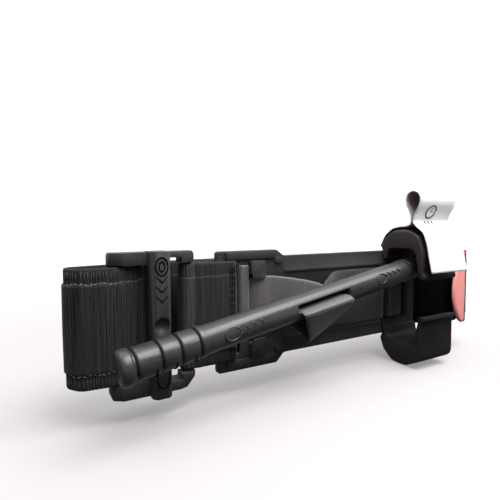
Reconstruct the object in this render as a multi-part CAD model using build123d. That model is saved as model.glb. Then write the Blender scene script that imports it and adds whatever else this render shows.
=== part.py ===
from build123d import *
import math
import os

# Windlass tourniquet, stowed: one long webbing band folded behind a moulded plate,
# a windlass rod with the inner strap through its slot, a C-shaped two-sided clip, a
# three-bar routing buckle, a time strap and a red-tipped free end.
# Working frame: X along the band to the right, Y to the back (limb side), Z up.
# Z = 0 is the middle of the band, Y = 0 the plate's front, X = 0 the left fold.
# Everything is shifted once, at export, to an origin under the middle of the part.

# ---------------------------------------------------------------- driving dimensions
BAND_W = 38.0                 # webbing width
BAND_T = 2.2                  # webbing thickness in a folded layer (two plies)
PITCH = 2.5                   # layer to layer distance in the folded stack
STRAP_W = 25.0                # inner strap and time strap width
STRAP_T = 1.4
FLAP_T = 2.1                  # doubled flap of the buckle loop
GAP = 0.3                     # air between soft layers

PLATE_T = 2.5
PLATE_X0, PLATE_X1 = 53.5, 162.7
PLATE_HALF = 20.0             # half height of the plate's body
WING_TOP, WING_LOW = 22.5, -23.6
WING_X = 80.0

CLIP_X0, CLIP_X1 = 141.0, 162.7
CLIP_TOP = 30.1               # crest of the upper horn above the middle of the band
CLIP_LOW = 32.1               # the lower horn reaches this far below it
CLIP_TIP = 8.3                # horn tips stop this far from the middle
CLIP_FRONT = -22.0
POCKET_TOP = 21.5             # inside of each horn's pocket

ROD_LEN = 153.0
ROD_R = 4.75
ROD_RIB_R = 5.0
ROD_CAP_R = 5.5
ROD_MID = (89.0, -14.8, 3.45)  # middle of the slot
ROD_DIR = (154.0, 10.1, 25.4)
SLOT_LEN, SLOT_H = 26.0, 2.6

BUCKLE_X0, BUCKLE_X1 = 15.0, 44.0
BUCKLE_TOP, BUCKLE_LOW = 23.4, -24.3

LAYER_1 = 3.9                 # centre Y of the sleeve right behind the plate
LAYER_A = LAYER_1 + PITCH
LAYER_B = LAYER_A + PITCH
LAYER_3 = LAYER_B + PITCH
LAYER_4 = LAYER_3 + PITCH
FOLD_RIGHT = 193.0
TAIL_RIGHT = 196.0
TAIL_FRONT = -8.9
BULGE = -4.6                  # centre Y of the sleeve where it swings forward
TAIL_END = 182.6
SPLIT_BUCKLE = (46.0, 51.0)   # the soft bend between the plate and the buckle
SPLIT_FLAP = (47.0, 50.0)
SPLIT_TAIL = (183.0, 185.0)

# ---------------------------------------------------------------- helpers


def tall(sketch, width, mid=0.0):
    """Raise an X-Y section by width, centred on Z = mid."""
    return extrude(Pos(0, 0, mid - width / 2) * sketch, width)


def facing(sketch, y_front, y_back):
    """Extrude a section drawn in X-Z between two Y planes."""
    return extrude(Plane.XZ.offset(-y_back) * sketch, y_back - y_front)


def across(sketch, x0, x1):
    """Extrude a section drawn in Y-Z between two X planes."""
    return extrude(Plane.YZ.offset(x0) * sketch, x1 - x0)


def outline(points):
    """Closed face with a radius at each corner: points are (u, v, radius)."""
    corners = [(p[0], p[1]) for p in points]
    radii = [p[2] for p in points]
    return make_face(FilletPolyline(*corners, radius=radii, close=True))


def offset_side(points, d):
    """Parallel polyline at distance d to the left of the path."""
    n = len(points)
    out = []
    for i in range(n):
        ax, ay = points[max(i - 1, 0)]
        bx, by = points[min(i + 1, n - 1)]
        px, py = points[i]
        d1 = (px - ax, py - ay) if i > 0 else (bx - px, by - py)
        d2 = (bx - px, by - py) if i < n - 1 else d1
        l1 = math.hypot(*d1)
        l2 = math.hypot(*d2)
        n1 = (-d1[1] / l1, d1[0] / l1)
        n2 = (-d2[1] / l2, d2[0] / l2)
        k = 1.0 + n1[0] * n2[0] + n1[1] * n2[1]
        out.append((px + d * (n1[0] + n2[0]) / k, py + d * (n1[1] + n2[1]) / k))
    return out


def ribbon(points, radii, thick):
    """Section of a bent strip: centreline corners rounded by the given radii.

    Each side keeps the same bend centre, so its own radius is larger or smaller
    by half the thickness.
    """
    left = offset_side(points, thick / 2)
    right = offset_side(points, -thick / 2)
    inner = points[1:-1]
    turns = []
    for i in range(len(inner)):
        ax, ay = points[i]
        px, py = points[i + 1]
        bx, by = points[i + 2]
        turns.append((px - ax) * (by - py) - (py - ay) * (bx - px))
    corners = []
    for i, p in enumerate(left):
        r = 0.0
        if 0 < i < len(points) - 1:
            r = radii[i - 1] - math.copysign(thick / 2, turns[i - 1])
        corners.append((p, r))
    for i in range(len(right) - 1, -1, -1):
        r = 0.0
        if 0 < i < len(points) - 1:
            r = radii[i - 1] + math.copysign(thick / 2, turns[i - 1])
        corners.append((right[i], r))
    return rounded_face(corners)


def rounded_face(corners):
    """Closed face from (point, radius) pairs, a zero radius keeps a sharp corner."""
    n = len(corners)
    starts, ends, mids = [], [], []
    for i in range(n):
        (px, py), r = corners[i]
        ax, ay = corners[i - 1][0]
        bx, by = corners[(i + 1) % n][0]
        if r <= 0.01:
            starts.append((px, py))
            ends.append((px, py))
            mids.append(None)
            continue
        u = (ax - px, ay - py)
        v = (bx - px, by - py)
        lu = math.hypot(*u)
        lv = math.hypot(*v)
        u = (u[0] / lu, u[1] / lu)
        v = (v[0] / lv, v[1] / lv)
        half = math.acos(max(-1.0, min(1.0, u[0] * v[0] + u[1] * v[1]))) / 2
        t = r / math.tan(half)
        h = r / math.sin(half) - r
        w = (u[0] + v[0], u[1] + v[1])
        lw = math.hypot(*w)
        starts.append((px + u[0] * t, py + u[1] * t))
        ends.append((px + v[0] * t, py + v[1] * t))
        mids.append((px + w[0] / lw * h, py + w[1] / lw * h))
    edges = []
    for i in range(n):
        if mids[i] is not None:
            edges.append(ThreePointArc(starts[i], mids[i], ends[i]))
        j = (i + 1) % n
        gap = math.hypot(ends[i][0] - starts[j][0], ends[i][1] - starts[j][1])
        if gap > 1e-4:
            edges.append(Line(ends[i], starts[j]))
    return make_face(edges)


def box(x0, x1, y0, y1, z0, z1):
    """Box between two corners."""
    size = Box(x1 - x0, y1 - y0, z1 - z0)
    return Pos((x0 + x1) / 2, (y0 + y1) / 2, (z0 + z1) / 2) * size


def soften(solid, edges, size):
    """Chamfer the given edges: a small break of the mould's sharp corners."""
    return chamfer(edges, size)


def rect(u0, u1, v0, v1, r=0.0):
    """Rectangle between two corners, with rounded corners."""
    w, h = u1 - u0, v1 - v0
    face = RectangleRounded(w, h, r) if r > 0 else Rectangle(w, h)
    return Pos((u0 + u1) / 2, (v0 + v1) / 2) * face


# ---------------------------------------------------------------- moulded plate


def plate():
    """Plate with wings, strap windows, guide tabs and low border ridges."""
    body = outline([
        (PLATE_X0, WING_LOW, 1.2),
        (WING_X, WING_LOW, 2.0),
        (WING_X + 3.5, -PLATE_HALF, 2.0),
        (PLATE_X1, -PLATE_HALF, 0.8),
        (PLATE_X1, PLATE_HALF, 0.8),
        (WING_X + 3.5, PLATE_HALF, 2.0),
        (WING_X, WING_TOP, 2.0),
        (PLATE_X0, WING_TOP, 1.2),
    ])
    body -= rect(60.7, 62.9, -17.0, 17.0, 0.8)
    body -= rect(66.9, 71.5, -13.2, 13.2, 0.8)
    body -= rect(141.4, 144.4, -13.2, 13.2, 0.8)
    body -= rect(146.0, 155.5, -12.8, 12.8, 1.0)
    solid = facing(body, 0.0, PLATE_T)
    solid = fillet(solid.edges().group_by(Axis.Y)[0], 0.35)
    for side in (-1, 1):
        z0, z1 = sorted((side * 13.4, side * 18.6))
        # guide tab: a thin finger bridging the strap's edge
        solid += facing(rect(66.9, 73.2, z0, z1, 0.6), -2.6, 0.0)
        w0, w1 = sorted((side * 11.6, side * 14.6))
        solid += facing(rect(67.4, 73.2, w0, w1, 0.4), -2.6, -1.9)
        # small gussets where the wing steps down to the body
        g0, g1 = sorted((side * 17.0, side * 19.3))
        solid += facing(rect(79.0, 82.6, g0, g1, 0.8), -0.5, 0.0)
        # raised border of the strap channel and the wing's step
        b0, b1 = sorted((side * 13.4, side * 14.4))
        solid += facing(rect(84.0, 140.0, b0, b1, 0.3), -0.6, 0.0)
        s0, s1 = sorted((side * 19.3, side * 22.2))
        solid += facing(rect(57.0, 79.0, s0, s1, 0.6), -0.9, 0.0)
    return solid


def clip():
    """Two-sided clip: a C open to the front, horns curling in from both edges."""
    t = CLIP_TIP
    top = CLIP_TOP
    low = CLIP_LOW
    root = [(-0.02, PLATE_HALF + 0.05, 0.3), (0.9, 22.4, 1.5)]
    upper = root + [
        (-1.3, 25.8, 5.0), (-6.2, top - 0.4, 6.0),
        (-12.6, top + 0.3, 7.0), (-19.2, 27.2, 4.0), (CLIP_FRONT, 20.0, 8.0),
    ]
    lower = root + [
        (-1.2, 27.2, 5.0), (-6.2, low - 0.4, 6.0),
        (-12.6, low + 0.4, 9.0), (CLIP_FRONT, 27.8, 3.6),
    ]
    inside = [
        (CLIP_FRONT, t + 3.2, 1.2),
        (CLIP_FRONT - 1.5, t + 1.2, 0.7),
        (CLIP_FRONT - 0.9, t - 0.3, 0.5),
        (CLIP_FRONT + 1.6, t, 0.6),
        (CLIP_FRONT + 4.3, POCKET_TOP, 3.4),
        (-3.2, POCKET_TOP, 3.0),
        (-2.4, 16.4, 0.8),
        (-0.02, 16.0, 0.3),
    ]
    front = [
        (CLIP_X0, -40.0, 1.0),
        (CLIP_X1, -40.0, 1.0),
        (CLIP_X1, 40.0, 1.0),
        (CLIP_X0, 40.0, 1.0),
    ]
    solid = None
    for side in (-1, 1):
        half = (upper if side > 0 else lower) + inside
        points = [(y, side * z, r) for y, z, r in half]
        horn = across(outline(points), CLIP_X0, CLIP_X1)
        solid = horn if solid is None else solid + horn
    # one base strip joins both horns across the plate, with the strap window
    base = rect(CLIP_X0, CLIP_X1, -17.0, 17.0, 0.5)
    base -= rect(CLIP_X0 - 3.0, 155.5, -13.0, 13.0, 0.8)
    solid += facing(base, -1.2, -0.02)
    front[1] = (CLIP_X1, -low - 0.4, 7.5)
    front[2] = (CLIP_X1, top + 0.4, 7.5)
    front[0] = (CLIP_X0, -low - 0.4, 2.0)
    front[3] = (CLIP_X0, top + 0.4, 2.0)
    keep = facing(outline(front), -30.0, -0.02)
    rear = box(CLIP_X0, CLIP_X1, -0.02, 2.0, -26.0, 26.0)
    solid = solid & (keep + rear)
    sides = solid.edges().group_by(Axis.X)
    return soften(solid, sides[0], 0.3)


# ---------------------------------------------------------------- windlass


def rod_place():
    """Location of the rod: local X along its axis, local Y through the slot."""
    return Plane(origin=ROD_MID, x_dir=ROD_DIR, z_dir=(-0.16, 0.17, 0.97)).location


def rod():
    """Windlass rod: end caps, four ribs at each end, slotted flats in the middle."""
    h = ROD_LEN / 2
    grooves = (4.2, 11.6, 17.7, 24.0)
    pts = [(0, 0), (0, ROD_CAP_R - 1.0), (0.3, ROD_CAP_R - 0.3), (1.0, ROD_CAP_R)]
    pts += [(3.0, ROD_CAP_R), (3.6, ROD_CAP_R - 0.25)]
    for i, g in enumerate(grooves):
        pts += [(g - 0.4, ROD_RIB_R), (g - 0.33, ROD_RIB_R - 0.85)]
        pts += [(g + 0.27, ROD_RIB_R - 0.85), (g + 0.4, ROD_RIB_R - 0.3)]
        pts += [(g + 0.7, ROD_RIB_R + 0.06), (g + 1.2, ROD_RIB_R + 0.1), (g + 2.0, ROD_RIB_R)]
    pts += [(grooves[-1] + 3.2, ROD_R)]
    left = [(-h + a, b) for a, b in pts]
    right = [(h - a, b) for a, b in reversed(pts)]
    profile = make_face(Polyline(*left, *right, close=True))
    shaft = revolve(profile, Axis.X)
    slot = Pos(0, 0, 0) * Box(SLOT_LEN, 4 * ROD_R, SLOT_H)
    relief = Pos(0, 0, 0) * Box(SLOT_LEN + 1.0, 1.0, SLOT_H)
    for side in (-1, 1):
        ends = Pos(0, side * (ROD_R - 0.1), 0) * relief
        slot += ends
    return rod_place() * (shaft - slot)


def strap_loop():
    """Inner strap where the rod carries it: through the slot and the fold below."""
    through = Box(STRAP_W, 2 * ROD_R + 1.6, STRAP_T)
    fold = outline([
        (-12.4, 0.7, 0.4),
        (12.4, 0.7, 0.4),
        (12.4, -2.6, 0.8),
        (-4.6, -15.4, 1.0),
        (-7.2, -15.0, 0.8),
    ])
    drop = facing(fold, -0.7, 0.7)
    drop = Rot(20, 0, 0) * drop
    drop = Pos(0, -ROD_R - 1.0, 0) * drop
    return rod_place() * (through + drop)


# ---------------------------------------------------------------- straps on the plate


def strap_left():
    """Inner strap from the plate's left window towards the rod."""
    path = [(69.2, 1.6), (70.6, -0.95), (80.0, -0.95)]
    return tall(ribbon(path, [1.0], STRAP_T), STRAP_W - 0.6)


def strap_right():
    """Inner strap from the rod back to the plate and into its right slit."""
    path = [(109.0, -0.95), (142.4, -0.95), (143.2, 1.7)]
    return tall(ribbon(path, [1.0], STRAP_T), STRAP_W - 0.6)


# ---------------------------------------------------------------- band on the plate


def sleeve_run():
    """Band behind the plate: out to the right fold, two stowed layers and back."""
    x0 = SPLIT_BUCKLE[1]
    r = PITCH / 2
    path = [
        (x0, LAYER_1), (166.0, LAYER_1), (180.0, BULGE),
        (FOLD_RIGHT, BULGE), (FOLD_RIGHT, BULGE + PITCH),
        (181.3, BULGE + PITCH), (167.3, LAYER_A),
        (72.0, LAYER_A), (72.0, LAYER_B),
        (188.0, LAYER_B), (188.0, LAYER_3),
        (x0, LAYER_3),
    ]
    radii = [12.0, 12.0, r - 0.02, r - 0.02, 12.0, 12.0]
    radii += [r - 0.02] * 4
    return tall(ribbon(path, radii, BAND_T), BAND_W)


def outer_run():
    """Outermost back layer of the stack, against the limb side."""
    face = rect(SPLIT_BUCKLE[1], SPLIT_TAIL[0], LAYER_4 - BAND_T / 2, LAYER_4 + BAND_T / 2)
    return tall(face, BAND_W)


def loop_flap():
    """Sewn front flap of the buckle loop, over the plate's left bar."""
    face = rect(SPLIT_FLAP[1], 60.3, -2.2, -2.2 + FLAP_T)
    hem = rect(58.2, 60.3, -2.7, -2.2)
    return tall(face, BAND_W) + tall(hem, BAND_W)


# ---------------------------------------------------------------- buckle side


def routing_buckle():
    """Three-bar routing buckle: side rails, flat left bar, raised centre bar."""
    rail = outline([
        (BUCKLE_X0, 3.8, 0.8), (BUCKLE_X0, -1.4, 2.0), (18.5, -4.0, 2.0),
        (37.5, -4.0, 2.5), (BUCKLE_X1, -1.6, 1.2), (BUCKLE_X1, 2.7, 0.8),
        (37.0, 2.7, 2.0), (31.0, 3.8, 2.0),
    ])
    solid = None
    for z0, z1 in ((BUCKLE_LOW, -19.5), (19.5, BUCKLE_TOP)):
        bar = tall(rail, z1 - z0, (z0 + z1) / 2)
        solid = bar if solid is None else solid + bar
    solid += tall(rect(BUCKLE_X0, 20.5, 1.4, 3.8, 0.8), 2 * 20.0)
    centre = outline([
        (27.0, 0.6, 0.6), (27.0, -6.6, 1.2), (28.4, -8.0, 0.8),
        (32.2, -8.0, 0.8), (33.6, -6.6, 1.2), (33.6, 0.6, 0.6),
    ])
    solid += tall(centre, BUCKLE_TOP - BUCKLE_LOW + 0.6, (BUCKLE_TOP + BUCKLE_LOW) / 2)
    solid += tall(rect(41.1, BUCKLE_X1, 0.15, 2.65, 1.1), 2 * 20.0)
    dimple = Pos(30.3, -8.4, -0.5) * Sphere(2.9)
    solid -= dimple
    solid -= facing(rect(33.7, 38.7, -21.4, 21.4, 0.6), -9.0, 0.1)
    solid -= facing(rect(33.7, 38.7, -21.4, 21.4, 0.6), 0.0, 5.0)
    corner = outline([
        (BUCKLE_X0, BUCKLE_LOW - 1.0, 2.6), (BUCKLE_X1 - 5.0, BUCKLE_LOW - 1.0, 2.0),
        (BUCKLE_X1, BUCKLE_LOW + 3.2, 2.0),
        (BUCKLE_X1, BUCKLE_TOP + 1.0, 3.4), (BUCKLE_X0, BUCKLE_TOP + 1.0, 2.6),
    ])
    return solid & facing(corner, -12.0, 8.0)


def buckle_loop():
    """Webbing loop round the buckle's right bar: flap in front, sleeve behind."""
    x0, x1 = 38.8, SPLIT_FLAP[0]
    front, back = -2.2 + FLAP_T / 2, LAYER_1
    r = (back - front) / 2
    mid = x0 + FLAP_T / 2
    path = [(x1, front), (mid, front), (mid, back), (SPLIT_BUCKLE[0], back)]
    return tall(ribbon(path, [r - 0.02, r - 0.02], FLAP_T), BAND_W)


def band_left():
    """Band through the buckle's left slot, over its left bar and round the fold."""
    x1 = SPLIT_BUCKLE[0]
    path = [
        (x1, LAYER_3), (36.5, LAYER_3), (27.0, 4.6), (24.7, 0.3), (16.0, -3.4),
        (6.0, -2.4), (2.8, 2.0), (3.2, 6.5), (36.0, LAYER_4), (x1, LAYER_4),
    ]
    radii = [4.0, 3.0, 1.6, 12.0, 4.0, 4.0, 3.0, 20.0]
    return tall(ribbon(path, radii, BAND_T), BAND_W)


# ---------------------------------------------------------------- time strap


def time_anchor():
    """Root of the time strap, wrapped flat on the upper horn's back and crest."""
    path = [(2.9, 21.6), (-0.5, 27.3), (-6.0, 31.0), (-12.2, 31.6)]
    section = ribbon(path, [4.0, 5.0], 1.2)
    return across(section, CLIP_X0 + 1.5, CLIP_X1 - 1.5)


TIME_LAYER = [(-15.3, 34.7), (-20.9, 28.6), (-23.4, 21.0), (-25.6, 11.2)]


def time_loop():
    """Time strap: pinched neck, teardrop loop above it, long front layer below."""
    mid_y, mid_z = -15.4, 43.4
    ring = Pos(mid_y, mid_z) * Circle(3.9)
    ring -= Pos(mid_y, mid_z) * Circle(2.7)
    ring += outline([
        (mid_y - 3.75, mid_z - 1.4, 0.3), (-16.3, 34.4, 0.3), (-15.2, 34.4, 0.3),
        (mid_y - 2.6, mid_z - 1.4, 0.3),
    ])
    ring += outline([
        (mid_y + 3.75, mid_z - 1.4, 0.3), (mid_y + 2.6, mid_z - 1.4, 0.3),
        (-15.4, 34.4, 0.3), (-14.3, 34.4, 0.3),
    ])
    layer = ribbon(TIME_LAYER, [9.0, 14.0], 1.2)
    section = ring + layer
    return across(section, 142.5, 167.5)


def time_hook():
    """Dark grip patch on the inner side of the hanging layer."""
    path = [(-22.65, 19.6), (-24.25, 12.6)]
    section = ribbon(path, [], 0.5)
    return across(section, 145.0, 162.0)


# ---------------------------------------------------------------- free end


def tail():
    """Free end of the band, round the right fold and onto the front."""
    path = [
        (SPLIT_TAIL[1], LAYER_4), (TAIL_RIGHT, LAYER_4),
        (TAIL_RIGHT, TAIL_FRONT), (191.6, TAIL_FRONT),
    ]
    return tall(ribbon(path, [7.0, 4.0], BAND_T), BAND_W)


def red_tip():
    """Coloured gripping end of the band, with a shallow round edge."""
    edge = rect(TAIL_END - 1.0, 191.6, -19.0, 19.0)
    bow = Pos(TAIL_END + 22.5, -2.0) * Circle(22.5)
    y0 = TAIL_FRONT - BAND_T / 2
    return facing(edge & bow, y0, TAIL_FRONT + BAND_T / 2)


# ---------------------------------------------------------------- export

NODES = {
    "stabilization_plate": plate,
    "windlass_clip": clip,
    "inner_strap_left": strap_left,
    "inner_strap_right": strap_right,
    "sleeve_run": sleeve_run,
    "band_outer_run": outer_run,
    "loop_flap": loop_flap,
    "time_strap_anchor": time_anchor,
    "windlass_rod": rod,
    "inner_strap_loop": strap_loop,
    "routing_buckle": routing_buckle,
    "buckle_loop": buckle_loop,
    "band_left_run": band_left,
    "time_strap_loop": time_loop,
    "time_strap_hook_tab": time_hook,
    "band_tail": tail,
    "red_tip": red_tip,
}

os.makedirs("parts", exist_ok=True)
shapes = {name: make() for name, make in NODES.items()}
low = [99999.0] * 3
high = [-99999.0] * 3
for shape in shapes.values():
    bb = shape.bounding_box()
    for i, (a, b) in enumerate(zip(tuple(bb.min), tuple(bb.max))):
        low[i] = min(low[i], a)
        high[i] = max(high[i], b)
shift = Pos(-(low[0] + high[0]) / 2, -(low[1] + high[1]) / 2, -low[2])
print("size", [round(b - a, 2) for a, b in zip(low, high)])
print("shift", [round(v, 3) for v in tuple(shift.position)])
for name, shape in shapes.items():
    export_step(shift * shape, f"parts/{name}.step")
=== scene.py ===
import math

import bmesh
import bpy
import numpy as np
from mathutils import Matrix, Vector


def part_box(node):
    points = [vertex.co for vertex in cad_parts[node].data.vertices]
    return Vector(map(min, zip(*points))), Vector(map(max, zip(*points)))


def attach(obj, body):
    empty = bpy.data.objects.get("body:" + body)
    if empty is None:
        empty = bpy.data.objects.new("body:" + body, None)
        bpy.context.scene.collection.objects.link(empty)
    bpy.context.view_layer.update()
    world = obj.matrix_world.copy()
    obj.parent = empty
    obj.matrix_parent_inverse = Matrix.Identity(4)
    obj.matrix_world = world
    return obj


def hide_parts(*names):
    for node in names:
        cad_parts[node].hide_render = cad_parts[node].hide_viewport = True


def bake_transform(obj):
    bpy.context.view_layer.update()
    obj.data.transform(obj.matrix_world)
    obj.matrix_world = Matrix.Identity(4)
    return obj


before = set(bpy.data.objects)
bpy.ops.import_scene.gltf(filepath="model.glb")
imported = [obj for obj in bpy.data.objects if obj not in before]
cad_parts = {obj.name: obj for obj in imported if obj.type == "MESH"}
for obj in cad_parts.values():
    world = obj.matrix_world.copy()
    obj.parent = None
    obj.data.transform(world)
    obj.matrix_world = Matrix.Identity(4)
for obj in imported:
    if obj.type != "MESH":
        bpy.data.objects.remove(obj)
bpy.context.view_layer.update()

RNG = np.random.default_rng(7)

# ------------------------------------------------------------------ working frame
# Lengths below are millimetres in the object's own frame: X along the band from the left
# fold, Y to the back with 0 at the plate's front, Z up with 0 at the middle of the band.
_lo, _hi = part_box("stabilization_plate")
ORIGIN = np.array([_lo.x - 0.0535, _hi.y - 0.0025, _hi.z - 0.0225])


def at(x, y, z):
    """A point of the working frame, in metres of the row frame."""
    return Vector(ORIGIN + np.array([x, y, z]) / 1000.0)


def to_row(points):
    """Working-frame points, in metres of the row frame."""
    return np.asarray(points, float) / 1000.0 + ORIGIN


HALF_BAND = 19.0                          # half the band's width
SEAM = 14.2                               # from the band's middle to each seam line
L1, LA, LB, L3, L4 = 3.9, 6.4, 8.9, 11.4, 13.9      # Y of the stacked layers, front to back
ROD_MID = np.array([89.0, -14.8, 3.45])
ROD_X = np.array([154.0, 10.1, 25.4])     # from the rod's left end to its right end
ROD_LEN = float(np.linalg.norm(ROD_X))
ROD_X /= ROD_LEN
ROD_Z = np.array([-0.16, 0.17, 0.97])     # up, across the slot
ROD_Z -= ROD_X * (ROD_X @ ROD_Z)
ROD_Z /= np.linalg.norm(ROD_Z)
ROD_Y = np.cross(ROD_Z, ROD_X)            # to the back, through the slot


def on_rod(a, b, c):
    """A point in the rod's own frame: a along it, b to the back, c up."""
    return ROD_MID + ROD_X * a + ROD_Y * b + ROD_Z * c


# ------------------------------------------------------------------ camera
YAW, PITCH, ROLL = math.radians(30.0), 0.05548, -0.005467
EYE = (-7.599, -130.268, 31.066)
FOCAL_PX = 390.343                        # focal length in pixels of a 500-pixel frame
SENSOR, FRAME_PX = 36.0, 500.0


def make_camera():
    """Looks from the front left, a little downwards, as the photograph does."""
    cy, sy, cp, sp = math.cos(YAW), math.sin(YAW), math.cos(PITCH), math.sin(PITCH)
    ahead = Vector((sy * cp, cy * cp, -sp))
    right = Vector((cy, -sy, 0.0))
    up = right.cross(ahead)
    side = right * math.cos(ROLL) + up * math.sin(ROLL)
    top = up * math.cos(ROLL) - right * math.sin(ROLL)
    data = bpy.data.cameras.new("camera")
    data.sensor_width = SENSOR
    data.lens = SENSOR * FOCAL_PX / FRAME_PX
    data.clip_start, data.clip_end = 0.005, 50.0
    cam = bpy.data.objects.new("camera", data)
    rot = Matrix((side, top, -ahead)).transposed().to_4x4()
    cam.matrix_world = Matrix.Translation(at(*EYE)) @ rot
    bpy.context.scene.collection.objects.link(cam)
    bpy.context.scene.camera = cam


make_camera()


# ------------------------------------------------------------------ material helpers
class Nodes:
    """Short names for building one node tree."""

    def __init__(self, name):
        self.mat = bpy.data.materials.new(name)
        self.mat.use_nodes = True
        self.tree = self.mat.node_tree
        self.bsdf = next(n for n in self.tree.nodes if n.type == "BSDF_PRINCIPLED")

    def add(self, kind, **values):
        node = self.tree.nodes.new(kind)
        for key, value in values.items():
            setattr(node, key, value)
        return node

    def link(self, a, b):
        self.tree.links.new(a, b)

    def coords(self, kind, scale=(1, 1, 1)):
        source = self.add("ShaderNodeTexCoord")
        mapping = self.add("ShaderNodeMapping")
        mapping.inputs["Scale"].default_value = scale
        self.link(source.outputs[kind], mapping.inputs["Vector"])
        return mapping.outputs["Vector"]

    def noise(self, vector, scale, detail=3.0, rough=0.55):
        node = self.add("ShaderNodeTexNoise")
        node.inputs["Scale"].default_value = scale
        node.inputs["Detail"].default_value = detail
        node.inputs["Roughness"].default_value = rough
        self.link(vector, node.inputs["Vector"])
        return node.outputs["Fac"]

    def wave(self, vector, scale, direction, distortion):
        node = self.add("ShaderNodeTexWave")
        node.wave_type = "BANDS"
        node.bands_direction = direction
        node.inputs["Scale"].default_value = scale
        node.inputs["Distortion"].default_value = distortion
        node.inputs["Detail"].default_value = 1.0
        self.link(vector, node.inputs["Vector"])
        return node.outputs["Fac"]

    def ramp(self, fac, stops):
        node = self.add("ShaderNodeValToRGB")
        elements = node.color_ramp.elements
        while len(elements) < len(stops):
            elements.new(0.5)
        for element, (pos, colour) in zip(elements, stops):
            element.position = pos
            element.color = (*colour, 1.0)
        self.link(fac, node.inputs["Fac"])
        return node.outputs["Color"]

    def math(self, op, a, b):
        node = self.add("ShaderNodeMath")
        node.operation = op
        for i, v in enumerate((a, b)):
            if hasattr(v, "node"):
                self.link(v, node.inputs[i])
            else:
                node.inputs[i].default_value = v
        return node.outputs["Value"]

    def part(self, vector, axis):
        node = self.add("ShaderNodeSeparateXYZ")
        self.link(vector, node.inputs["Vector"])
        return node.outputs[axis]

    def between(self, value, low, high):
        """0 at low, 1 at high."""
        node = self.add("ShaderNodeMapRange")
        node.inputs["From Min"].default_value = low
        node.inputs["From Max"].default_value = high
        self.link(value, node.inputs["Value"])
        return node.outputs["Result"]

    def spread(self, fac, low, high):
        node = self.add("ShaderNodeMapRange")
        node.inputs["To Min"].default_value = low
        node.inputs["To Max"].default_value = high
        self.link(fac, node.inputs["Value"])
        return node.outputs["Result"]

    def bump(self, layers):
        """Layers are (height, distance in metres, strength), innermost first."""
        last = None
        for height, distance, strength in layers:
            node = self.add("ShaderNodeBump")
            node.inputs["Distance"].default_value = distance
            node.inputs["Strength"].default_value = strength
            self.link(height, node.inputs["Height"])
            if last is not None:
                self.link(last, node.inputs["Normal"])
            last = node.outputs["Normal"]
        self.link(last, self.bsdf.inputs["Normal"])

    def set(self, **values):
        names = {
            "specular": "Specular IOR Level", "rough": "Roughness",
            "sheen": "Sheen Weight", "sheen_rough": "Sheen Roughness",
        }
        for key, value in values.items():
            self.bsdf.inputs[names[key]].default_value = value


def plastic(name, dark, light, rough, grain=2600.0, bump=0.00002, specular=0.5, painted_light_range=None):
    """Moulded plastic: fine grain, faint flow marks and uneven gloss.

    The last argument is (low, high) in metres: between them the plastic gets painted light,
    turning lighter with height, and its side faces get painted light, lighter than its front.
    """
    n = Nodes(name)
    where = n.coords("Object")
    broad = n.noise(where, 55.0, 4.0)
    fine = n.noise(where, grain, 2.0)
    mix = n.math("ADD", n.math("MULTIPLY", broad, 0.7), n.math("MULTIPLY", fine, 0.3))
    tone, stops = mix, [(0.3, dark), (0.7, light)]
    if painted_light_range:
        # painted light: lighter with height and on the faces turned to the left
        height = n.between(n.part(where, "Z"), painted_light_range[0], painted_light_range[1])
        side = n.between(n.part(n.coords("Normal"), "X"), -0.3, -0.9)
        tone = n.math("ADD", n.math("MULTIPLY", mix, 0.45), n.math("MULTIPLY", height, 0.35))
        tone = n.math("ADD", tone, n.math("MULTIPLY", side, 0.3))
        stops = [(0.15, dark), (0.8, light)]
    n.link(n.ramp(tone, stops), n.bsdf.inputs["Base Color"])
    n.link(n.spread(mix, rough[0], rough[1]), n.bsdf.inputs["Roughness"])
    n.bump([(fine, bump, 0.6), (broad, 0.0001, 0.25)])
    n.set(specular=specular)
    return n.mat


def webbing(name, dark, light, rib=71.0, sheen=0.25, streak=0.6, rough=(0.6, 0.85),
            specular=0.3, bump=1.0):
    """Woven band: UV X runs along it in units of 100 mm, UV Y across it."""
    n = Nodes(name)
    along = n.coords("UV")
    streaks = n.noise(n.coords("UV", (90.0, 2.2, 1.0)), 1.0, 4.0, 0.6)
    yarn = n.noise(n.coords("UV", (420.0, 60.0, 1.0)), 1.0, 2.0)
    ribs = n.wave(along, rib, "X", 0.6)
    cross = n.wave(along, 190.0, "Y", 1.5)
    speck = n.noise(along, 900.0, 2.0)
    mix = n.math("ADD", n.math("MULTIPLY", streaks, streak),
                 n.math("MULTIPLY", yarn, 1.0 - streak))
    n.link(n.ramp(mix, [(0.32, dark), (0.68, light)]), n.bsdf.inputs["Base Color"])
    n.link(n.spread(yarn, rough[0], rough[1]), n.bsdf.inputs["Roughness"])
    n.bump([
        (ribs, 0.00012 * bump, 0.5),
        (cross, 0.00004 * bump, 0.5),
        (streaks, 0.00022 * bump, 0.6),
        (speck, 0.00004 * bump, 0.6),
    ])
    n.set(specular=specular, sheen=sheen, sheen_rough=0.45)
    return n.mat


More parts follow.
